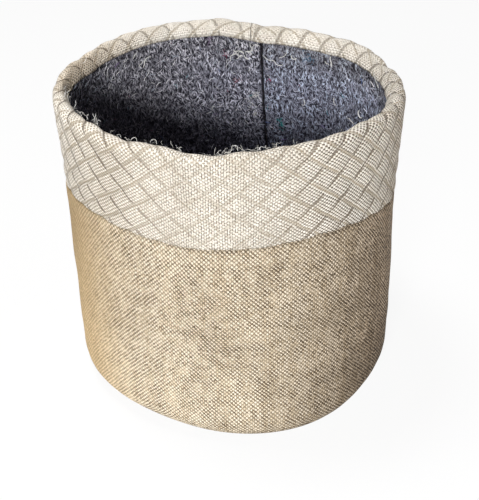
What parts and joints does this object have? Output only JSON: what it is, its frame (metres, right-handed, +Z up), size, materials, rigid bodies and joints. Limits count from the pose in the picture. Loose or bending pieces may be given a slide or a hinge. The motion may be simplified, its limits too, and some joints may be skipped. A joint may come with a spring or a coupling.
{
  "type": "fabric grow bag",
  "caption": "Round free-standing fabric grow bag with a burlap wall, a woven cream collar rolled over the rim and a thick grey felt lining, for growing a plant in.",
  "frame": {"origin": "centre of the underside, on the floor", "axes": "+Z up along the axis of the bag, -Y towards the front of the picture, +X to the right of the picture"},
  "size_m": [0.3, 0.3, 0.282],
  "materials": {
    "burlap": "natural jute hessian in plain weave",
    "jacquard": "cream jacquard with a diagonal basket-weave pattern",
    "felt": "needled recycled-fibre felt with coloured flecks",
    "thread": "twisted natural sewing thread"
  },
  "bodies": {
    "root": {"burlap_wall": "burlap", "burlap_base": "burlap", "collar": "jacquard", "felt_wall": "felt", "felt_base": "felt", "burlap_side_thread": "thread", "collar_side_thread": "thread", "collar_seam_thread": "thread", "base_seam_thread": "thread", "felt_side_thread": "thread", "felt_base_thread": "thread", "facing_thread": "thread"}
  },
  "joints": []
}
